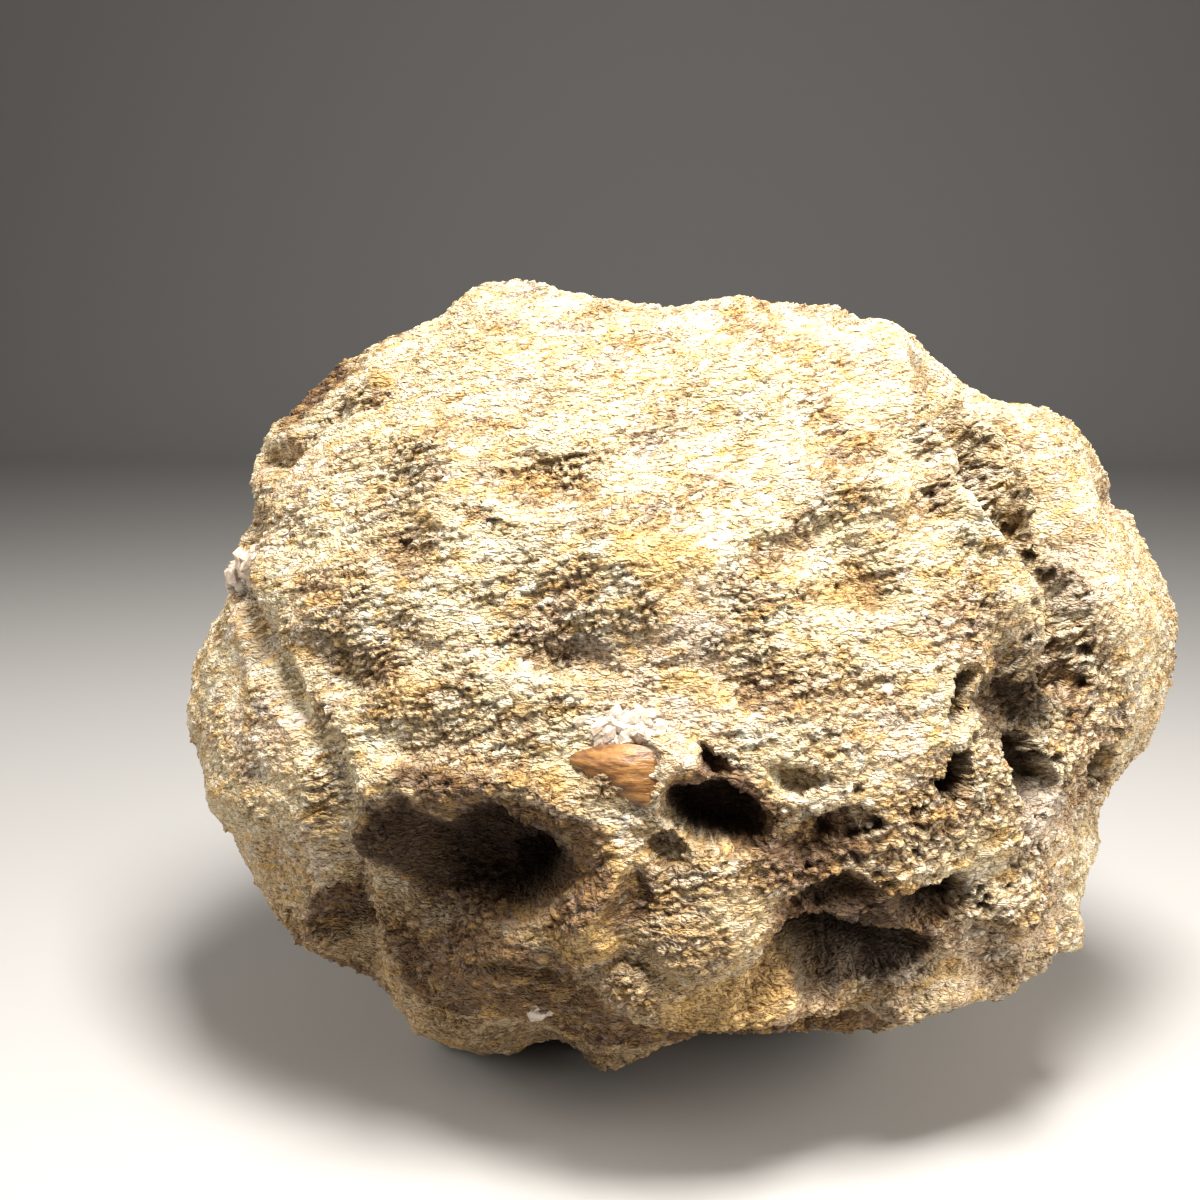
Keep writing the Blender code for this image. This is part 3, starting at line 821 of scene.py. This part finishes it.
# %% [markdown]
# The numbers become meshes in one go. One piece may not hold as many faces as
# this rind needs, so each of the six patches is a piece of its own. Each is
# closed by thin walls that run in to the stone's heart, where nobody sees
# them. All the patches take their shading from the one whole surface, so that
# no seam shows. The underside is cut level where the stone rests.

# %% From arrays to meshes
MAP_MARGIN = 0.01


def add_object(name, data):
    """An object at the origin, unturned, that shows the given mesh, light or camera."""
    made = bpy.data.objects.new(name, data)
    bpy.context.scene.collection.objects.link(made)
    return made


def surface(name, points, face_groups, attributes):
    """A mesh object at the origin, from points in metres and arrays of faces."""
    mesh = bpy.data.meshes.new(name)
    mesh.vertices.add(len(points))
    mesh.vertices.foreach_set("co", points.astype(np.float32).ravel())
    corners = np.concatenate([faces.ravel() for faces in face_groups])
    counts = np.concatenate([np.full(len(faces), faces.shape[1]) for faces in face_groups])
    mesh.loops.add(len(corners))
    mesh.loops.foreach_set("vertex_index", corners.astype(np.int32))
    mesh.polygons.add(len(counts))
    starts = np.cumsum(counts) - counts
    mesh.polygons.foreach_set("loop_start", starts.astype(np.int32))
    mesh.update(calc_edges=True)
    for key, values in attributes.items():
        if values.ndim == 1:
            layer = mesh.attributes.new(key, "FLOAT", "POINT")
            layer.data.foreach_set("value", values.astype(np.float32))
        else:
            layer = mesh.attributes.new(key, "FLOAT_COLOR", "POINT")
            opaque = np.column_stack([values, np.ones(len(values))])
            layer.data.foreach_set("color", opaque.astype(np.float32).ravel())
    return add_object(name, mesh)


def ring_of(grid):
    """The border of a square grid, once round, in the order that its cells turn."""
    return np.concatenate([grid[:-1, 0], grid[-1, :-1], grid[:0:-1, -1], grid[0, :0:-1]])


def patch_map(mesh, local):
    """The grid's two parameters as the patch's own map, with its walls in the margin."""
    share = np.linspace(MAP_MARGIN, 1.0 - MAP_MARGIN, CELLS + 1)
    places = np.stack(np.meshgrid(share, share, indexing="ij"), axis=-1).reshape(-1, 2)
    cells = places[cells_of(local).ravel()]
    ring = ring_of(local)
    ends = np.repeat([(0.5, 0.0), (1.0, 0.5), (0.5, 1.0), (0.0, 0.5)], CELLS, axis=0)
    walls = np.stack([places[np.roll(ring, -1)], places[ring], ends], axis=1).reshape(-1, 2)
    layer = mesh.uv_layers.new(name="OFBake")
    layer.data.foreach_set("uv", np.concatenate([cells, walls]).astype(np.float32).ravel())


def rind_patch(side, number, points, normals, attributes):
    """One side of the rind, with the heart as a last point that its walls run in to."""
    chosen = number.ravel()
    local = np.arange(chosen.size).reshape(number.shape)
    ring = ring_of(local)
    heart = np.full_like(ring, chosen.size)
    walls = np.stack([np.roll(ring, -1), ring, heart], axis=1)
    own_points = np.concatenate([points[chosen], [np.array(HEART) * MM]])
    own_normals = np.concatenate([normals[chosen], [(0.0, 0.0, 1.0)]])
    own = {key: np.concatenate([values[chosen], values[:1]])
           for key, values in attributes.items()}
    piece = surface("geode_" + side, own_points, (cells_of(local), walls), own)
    patch_map(piece.data, local)
    piece.data.shade_smooth()
    piece.data.normals_split_custom_set_from_vertices(own_normals.astype(np.float32))
    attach(piece, "root")
    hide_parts("geode")
    return piece


rind_points = (rind + HEART) * MM
rind_points[:, 2] = np.maximum(rind_points[:, 2], 0.0)
rind_normals = grid_normals(rind_points, quads)
looks = {"tint": colors, "gaps": gaps * rough}
patches = [rind_patch(side, number, rind_points, rind_normals, looks)
           for side, number in zip(SIDES, numbers)]
for piece in patches:
    print(piece.name, len(piece.data.vertices), "points,",
          len(piece.data.loop_triangles), "triangles")

# %% [markdown]
# Where the rind has broken, the inside shows. A window of orange chalcedony,
# pointed at its left end, sits in a seat under the dome. It is a lens: its
# outline shrinks towards a middle that bulges, and its back is sunk in the rock.

# %% The chalcedony window
WINDOW_OUTLINE = ((-7.6, 2.0), (-3.6, 3.9), (2.2, 4.7), (6.2, 3.6), (7.5, 0.0),
                  (6.4, -4.2), (3.6, -4.6), (-1.0, -2.4), (-5.2, 0.0))
WINDOW_ROUNDS = 96
WINDOW_RINGS = 20
WINDOW_BULGE = 1.6
WINDOW_WAVE = 0.12
WINDOW_DEPTH = 2.5
WINDOW_SINK = 0.1
WINDOW_BACK_SHARES = (0.7, 0.97)
SEAT_REACH = 8.0


def closed_curve(marks, count):
    """Points on a smooth closed curve through the marks: a cubic between each pair.

    The slope at each mark is that of the straight line between its neighbours.
    """
    marks = np.array(marks, dtype=float)
    where = np.arange(count) * len(marks) / count
    at = where.astype(int)
    share = (where - at)[:, None]
    slopes = (np.roll(marks, -1, axis=0) - np.roll(marks, 1, axis=0)) / 2.0
    after = (at + 1) % len(marks)
    return cubic(marks[at], marks[after], slopes[at], slopes[after], share)


def seat_frame(spot):
    """The seat's middle, with the directions outward, to the right and upward in its plane.

    The middle and the outward direction are means over the rind inside the reach.
    """
    near = np.linalg.norm(form - np.array(spot[:3]), axis=1) < SEAT_REACH
    outward = unit(grid_normals(form, quads)[near].mean(axis=0))
    level = unit(np.cross(outward, (0.0, 0.0, -1.0)))
    return form[near].mean(axis=0), outward, level, np.cross(outward, level)


def ring_faces(rounds, rows):
    """Quads between rows of points that each go once round."""
    first = np.arange(rounds)
    after = np.roll(first, -1)
    strip = np.stack([first, after, after + rounds, first + rounds], axis=1)
    return (strip + rounds * np.arange(rows - 1)[:, None, None]).reshape(-1, 4)


def window():
    """Rings from the sunk back, round the rim and over the bulge to the middle."""
    at, outward, level, steep = seat_frame(WINDOW_SEAT)
    curve = closed_curve(WINDOW_OUTLINE, WINDOW_ROUNDS)
    share = np.cos(np.linspace(0.0, math.pi / 2, WINDOW_RINGS))[:-1]
    height = WINDOW_BULGE * (1.0 - share**2)
    height += WINDOW_WAVE * pattern(np.stack([share * 9.0, height, share], axis=1), 2.0, 61)
    share = np.concatenate([WINDOW_BACK_SHARES, share])
    height = np.concatenate([[-WINDOW_DEPTH, -WINDOW_DEPTH / 2], height])
    flat = share[:, None, None] * curve
    places = flat[..., :1] * level + flat[..., 1:] * steep + height[:, None, None] * outward
    ends = np.array([height[-1], height[0]])[:, None] * outward
    middle = at - WINDOW_SINK * outward + HEART
    points = np.concatenate([places.reshape(-1, 3), ends]) + middle
    rows = len(share)
    last, top_end = WINDOW_ROUNDS * (rows - 1), WINDOW_ROUNDS * rows
    first = np.arange(WINDOW_ROUNDS)
    after = np.roll(first, -1)
    top = np.stack([first + last, after + last, np.full_like(first, top_end)], axis=1)
    back = np.stack([after, first, np.full_like(first, top_end + 1)], axis=1)
    piece = surface("window", points * MM, (ring_faces(WINDOW_ROUNDS, rows), top, back), {})
    piece.data.shade_smooth()
    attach(piece, "root")
    return piece


window_piece = window()
print("window:", len(window_piece.data.polygons), "faces")

# %% [markdown]
# White quartz is crusted over the window and shows here and there in the rind
# as small angular chips. One chip is a rough barrel: two rings of five corners
# between two points. All the chips are worked out as one array, each with its
# own size, turn and dents, and sunk partly into the rind.

# %% Quartz chips
CHIP_SIDES = 5
CHIP_RING_HEIGHT = 0.45
CHIP_SHARES = (1.3, 1.2, 0.7)
CHIP_DENTS = 0.25
CHIP_LOWEST = 1.5 * MM


def chip_shape():
    """Corners of one chip of about unit size, and its triangles."""
    angle = np.arange(CHIP_SIDES) * 2 * math.pi / CHIP_SIDES
    ring = np.stack([np.cos(angle), np.sin(angle), np.full(CHIP_SIDES, -CHIP_RING_HEIGHT)], axis=1)
    twisted = angle + math.pi / CHIP_SIDES
    upper = np.stack([np.cos(twisted), np.sin(twisted),
                      np.full(CHIP_SIDES, CHIP_RING_HEIGHT)], axis=1)
    corners = np.concatenate([ring, upper, [(0.0, 0.0, -1.0), (0.0, 0.0, 1.0)]])
    low = np.arange(CHIP_SIDES)
    next_low, high = np.roll(low, -1), low + CHIP_SIDES
    next_high = np.roll(high, -1)
    foot, tip = np.full(CHIP_SIDES, 2 * CHIP_SIDES), np.full(CHIP_SIDES, 2 * CHIP_SIDES + 1)
    faces = [(low, next_low, high), (next_low, next_high, high),
             (next_low, low, foot), (high, next_high, tip)]
    return corners, np.concatenate([np.stack(face, axis=1) for face in faces])


def quartz_chips(name, chosen, low, high, proud, seed):
    """Chips on chosen points of the rind, with radii from low to high millimetres.

    Their middles stand proud of the rind by the given share of their radii.
    """
    random = np.random.default_rng(seed)
    corners, faces = chip_shape()
    count = len(chosen)
    outward = rind_normals[chosen]
    aside = unit(np.cross(outward, random.normal(size=(count, 3))))
    along = np.cross(outward, aside)
    sizes = random.uniform(low, high, (count, 1, 1)) * random.uniform(0.6, 1.1, (count, 1, 3))
    sizes = sizes * CHIP_SHARES
    dented = 1.0 + CHIP_DENTS * random.uniform(-1.0, 1.0, (count, len(corners), 1))
    local = corners * sizes * dented
    turned = np.einsum("nki,nij->nkj", local, np.stack([aside, along, outward], axis=1))
    lifted = rind_points[chosen] / MM + proud * sizes.min(axis=2) * outward
    points = turned + lifted[:, None, :]
    shifted = faces + len(corners) * np.arange(count)[:, None, None]
    piece = surface(name, points.reshape(-1, 3) * MM, (shifted.reshape(-1, 3),), {})
    piece.data.shade_flat()
    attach(piece, "root")
    return piece


def pick(share, least, count, seed):
    """Random points of the rind, the likelier the larger their share, above a least share."""
    weight = np.where(rind_points[:, 2] > CHIP_LOWEST, np.maximum(share - least, 0.0), 0.0)
    random = np.random.default_rng(seed)
    return random.choice(len(weight), count, replace=False, p=weight / weight.sum())


on_knob, clean = spot_share(bent, KNOB)[0], 1.0 - np.maximum(umber_and_shade, worn)
chips = [
    quartz_chips("quartz_crust", pick(quartz, 0.25, 260, 71), 0.6, 1.4, -0.35, 72),
    quartz_chips("quartz_flecks", pick(clean, 0.5, 150, 73), 0.2, 0.45, -0.3, 74),
    quartz_chips("quartz_knob", pick(on_knob, 0.6, 9, 75), 1.8, 2.8, -0.2, 76),
]
for piece in chips:
    print(piece.name, len(piece.data.polygons), "faces")

# %% [markdown]
# Materials next. A small helper adds nodes, so that each effect reads as a
# short list.

# %% Helpers for shader nodes
def new_material(name, roughness):
    """A material of the given roughness, with its node tree and its shader."""
    material = bpy.data.materials.new(name)
    material.use_nodes = True
    shader = material.node_tree.nodes["Principled BSDF"]
    shader.inputs["Roughness"].default_value = roughness
    return material, material.node_tree, shader


def add_node(tree, kind, settings, inputs):
    """Add a node, set its options, then set or link its inputs by name or number."""
    node = tree.nodes.new(kind)
    for key, value in settings.items():
        setattr(node, key, value)
    for key, value in inputs.items():
        if isinstance(value, bpy.types.NodeSocket):
            tree.links.new(value, node.inputs[key])
        else:
            node.inputs[key].default_value = value
    return node


def math_node(tree, operation, *values):
    """The result of one sum on numbers or sockets."""
    node = add_node(tree, "ShaderNodeMath", {"operation": operation}, dict(enumerate(values)))
    return node.outputs[0]


def blend_colors(tree, share, low, high, mode="MIX"):
    """Mix two colours by a share; number 6 and 7 are a Mix node's colour inputs."""
    settings = {"data_type": "RGBA", "blend_type": mode}
    node = add_node(tree, "ShaderNodeMix", settings, {0: share, 6: low, 7: high})
    return node.outputs[2]


def ramp(tree, value, low, high):
    """0 below low and 1 above high, eased."""
    settings = {"interpolation_type": "SMOOTHSTEP"}
    inputs = {"Value": value, "From Min": low, "From Max": high}
    return add_node(tree, "ShaderNodeMapRange", settings, inputs).outputs[0]


def attribute(tree, name, output):
    """One output of a named array that the mesh carries."""
    return add_node(tree, "ShaderNodeAttribute", {"attribute_name": name}, {}).outputs[output]


def stone_beds(tree, rotation, squeeze):
    """The object's own space, turned and squeezed, so that what it carries lies in beds."""
    where = add_node(tree, "ShaderNodeTexCoord", {}, {}).outputs["Object"]
    inputs = {"Vector": where, "Rotation": rotation, "Scale": squeeze}
    return add_node(tree, "ShaderNodeMapping", {}, inputs).outputs[0]


print("node helpers are ready")

# %% [markdown]
# All the materials have grains in beds: fine ones in the rind, large cloudy ones
# in the quartz, and long bands in the chalcedony. So the grains are one node
# group. Each material places it with its own numbers, and takes from it the
# grains themselves, which lift the surface, and a mask, which colours it.

# %% The grains that all the materials share
def grain_group():
    """Noise in beds, and a mask of it that is 0 at Low and 1 at High."""
    group = bpy.data.node_groups.new("bedded_grains", "ShaderNodeTree")
    kinds = {"Rotation": "Vector", "Squeeze": "Vector", "Scale": "Float", "Detail": "Float",
             "Roughness": "Float", "Low": "Float", "High": "Float"}
    for name, kind in kinds.items():
        group.interface.new_socket(name, in_out="INPUT", socket_type="NodeSocket" + kind)
    for name in ("Grains", "Mask"):
        group.interface.new_socket(name, in_out="OUTPUT", socket_type="NodeSocketFloat")
    given = add_node(group, "NodeGroupInput", {}, {}).outputs
    inputs = {"Vector": stone_beds(group, given["Rotation"], given["Squeeze"])}
    inputs.update({name: given[name] for name in ("Scale", "Detail", "Roughness")})
    grains = add_node(group, "ShaderNodeTexNoise", {}, inputs).outputs["Fac"]
    mask = ramp(group, grains, given["Low"], given["High"])
    add_node(group, "NodeGroupOutput", {}, {"Grains": grains, "Mask": mask})
    return group


BEDDED_GRAINS = grain_group()
GRAIN_ROUGHNESS = 0.6


def grains_in(tree, rotation, squeeze, size, detail, low, high):
    """The group placed in a material, with grains of about the given size in metres."""
    inputs = {"Rotation": rotation, "Squeeze": squeeze, "Scale": 1.0 / size, "Detail": detail,
              "Roughness": GRAIN_ROUGHNESS, "Low": low, "High": high}
    node = add_node(tree, "ShaderNodeGroup", {"node_tree": BEDDED_GRAINS}, inputs)
    return node.outputs["Grains"], node.outputs["Mask"]


print("the grain group has", len(BEDDED_GRAINS.nodes), "nodes")

# %% [markdown]
# The points are about 0.4 millimetres apart, and the rind is finer than that. So
# its material adds the last step: winding creases, wider where the flakes' own
# gaps are open, and grains, both lying in thin beds. They lift the surface a
# little, and they darken the colour as painted shade, partly dirt. The
# chalcedony and the quartz are glossier, and share one function: two colours
# each, mixed by the mask of their grains.

# %% The rind's material, and the two glassy ones
RIND_TURN = (0.0, BEDDING_RISE, 0.0)
RIND_SQUEEZE = (1.0, 1.0, 2.3)
GRAIN_SIZE = 1.0 * MM
CREASE_SIZE = 2.0 * MM
CREASE_WIDTH, OPEN_CREASE_WIDTH = 0.014, 0.05
# How much the painted shade darkens the creases.
CREASE_DARKNESS = 0.8
CREASE_SHARE_OF_BUMP = 1.5
RIND_BUMP = 1.3 * MM
GLASS_TURN = (0.0, -0.12, 0.0)
GLASS_BUMP = 0.4 * MM


def creases(tree, where, size, distortion):
    """Distance of a noise from its middle value, which is 0 along thin winding creases."""
    inputs = {"Vector": where, "Scale": 1.0 / size, "Detail": 0.0, "Distortion": distortion}
    value = add_node(tree, "ShaderNodeTexNoise", {}, inputs).outputs["Fac"]
    return math_node(tree, "ABSOLUTE", math_node(tree, "SUBTRACT", value, 0.5))


def rind_material():
    """The tint worked out for every point, with creases and grains over it. Their darkening is
    painted shade, partly dirt.
    """
    material, tree, shader = new_material("rind", 0.9)
    grains, low_grain_shade = grains_in(tree, RIND_TURN, RIND_SQUEEZE, GRAIN_SIZE, 3.0, 0.43, 0.33)
    winding = creases(tree, stone_beds(tree, RIND_TURN, RIND_SQUEEZE), CREASE_SIZE, 1.0)

    width = math_node(tree, "MULTIPLY_ADD", attribute(tree, "gaps", "Fac"),
                      OPEN_CREASE_WIDTH, CREASE_WIDTH)
    depth = math_node(tree, "SUBTRACT", 1.0, math_node(tree, "DIVIDE", winding, width))
    # Painted shade, partly dirt: creases and the low spots of the grains darken the tint.
    shade_and_dirt_share = math_node(tree, "MAXIMUM", ramp(tree, depth, 0.0, 0.55), low_grain_shade)
    color = blend_colors(tree, math_node(tree, "MULTIPLY", shade_and_dirt_share, CREASE_DARKNESS),
                         attribute(tree, "tint", "Color"), (*CREASE_SHADE_AND_DIRT, 1.0), "MULTIPLY")
    tree.links.new(color, shader.inputs["Base Color"])

    ridges = math_node(tree, "MULTIPLY", winding, CREASE_SHARE_OF_BUMP)
    height = math_node(tree, "ADD", grains, ridges)
    bump = add_node(tree, "ShaderNodeBump", {}, {"Height": height, "Distance": RIND_BUMP})
    tree.links.new(bump.outputs[0], shader.inputs["Normal"])
    return material


def stone_glass(name, low, high, size, squeeze, roughness):
    """A glossy mineral in two colours, cloudy or banded as its space is squeezed."""
    material, tree, shader = new_material(name, roughness)
    clouds, share = grains_in(tree, GLASS_TURN, (1.0, 1.0, squeeze), size, 4.0, 0.36, 0.62)
    color = blend_colors(tree, share, low, high)
    tree.links.new(color, shader.inputs["Base Color"])
    bump = add_node(tree, "ShaderNodeBump", {}, {"Height": clouds, "Distance": GLASS_BUMP})
    tree.links.new(bump.outputs[0], shader.inputs["Normal"])
    return material


rind_finish = rind_material()
orange = stone_glass("chalcedony", (0.12, 0.045, 0.012, 1.0), (0.33, 0.16, 0.045, 1.0),
                     size=4.0 * MM, squeeze=4.0, roughness=0.42)
milky = stone_glass("quartz", (0.44, 0.34, 0.26, 1.0), (0.68, 0.59, 0.51, 1.0),
                    size=2.0 * MM, squeeze=1.0, roughness=0.3)
for piece in patches:
    piece.data.materials.append(rind_finish)
window_piece.data.materials.append(orange)
for piece in chips:
    piece.data.materials.append(milky)
print("materials:", rind_finish.name, orange.name, milky.name)

# %% [markdown]
# The stage is a plain pale floor that turns up behind the stone, with soft
# studio light: one bright panel overhead, a little in front, and a dim one at
# each side.

# %% Stage, lights and camera
SWEEP_HALF_WIDTH = 2.5
SWEEP_FRONT = -2.0
SWEEP_BACK = 0.9
SWEEP_RADIUS = 0.5
SWEEP_HEIGHT = 2.2
SWEEP_STEPS = 24
heart = Vector(HEART) * MM


def sweep():
    """One sheet: a level floor that turns up behind the stone along a quarter circle."""
    angle = np.linspace(0.0, math.pi / 2, SWEEP_STEPS + 1)
    turn = np.stack([SWEEP_BACK + SWEEP_RADIUS * np.sin(angle),
                     SWEEP_RADIUS * (1.0 - np.cos(angle))], axis=1)
    profile = np.concatenate([[(SWEEP_FRONT, 0.0)], turn,
                              [(SWEEP_BACK + SWEEP_RADIUS, SWEEP_HEIGHT)]])
    count = len(profile)
    sides = np.repeat((-SWEEP_HALF_WIDTH, SWEEP_HALF_WIDTH), count)
    points = np.column_stack([sides, np.concatenate([profile, profile])])
    near = np.arange(count - 1)
    faces = np.stack([near, near + count, near + count + 1, near + 1], axis=1)
    piece = surface("floor", points, (faces,), {})
    piece.data.shade_smooth()
    material, _, shader = new_material("floor", 0.7)
    shader.inputs["Base Color"].default_value = (0.42, 0.42, 0.43, 1.0)
    piece.data.materials.append(material)


def panel(name, offset, size, power, color):
    """A square area light at an offset from the stone's heart, turned towards it."""
    light = bpy.data.lights.new(name, "AREA")
    light.energy = power
    light.size = size
    light.color = color
    lamp = add_object(name, light)
    lamp.location = heart + Vector(offset)
    lamp.rotation_euler = (-Vector(offset)).to_track_quat("-Z", "Y").to_euler()


sweep()
panel("key", (0.04, -0.13, 0.40), 0.16, 5.4, (1.0, 0.95, 0.87))
panel("left panel", (-0.50, -0.06, 0.24), 0.35, 2.1, (1.0, 0.93, 0.82))
panel("right panel", (0.50, -0.18, 0.16), 0.35, 3.5, (1.0, 0.93, 0.82))
world = bpy.data.worlds.new("studio")
world.use_nodes = True
world.node_tree.nodes["Background"].inputs["Color"].default_value = (1.0, 0.95, 0.9, 1.0)
world.node_tree.nodes["Background"].inputs["Strength"].default_value = 0.08
bpy.context.scene.world = world
bpy.context.scene.view_settings.view_transform = "Standard"

CAMERA_DISTANCE = 0.318
AIM_RIGHT = -0.016
AIM_UP = 0.016
view_up = Vector((0.0, math.sin(OUTLINE_LEAN), math.cos(OUTLINE_LEAN)))
view_back = Vector((0.0, -math.cos(OUTLINE_LEAN), math.sin(OUTLINE_LEAN)))
lens = bpy.data.cameras.new("camera")
lens.lens = 47.0
lens.sensor_width = 36.0
lens.clip_start = 0.01
camera = add_object("camera", lens)
camera.location = heart + CAMERA_DISTANCE * view_back
aim = heart + Vector((AIM_RIGHT, 0.0, 0.0)) + AIM_UP * view_up
camera.rotation_euler = (aim - camera.location).to_track_quat("-Z", "Y").to_euler()
bpy.context.scene.camera = camera
print("camera at", [round(c, 3) for c in camera.location])
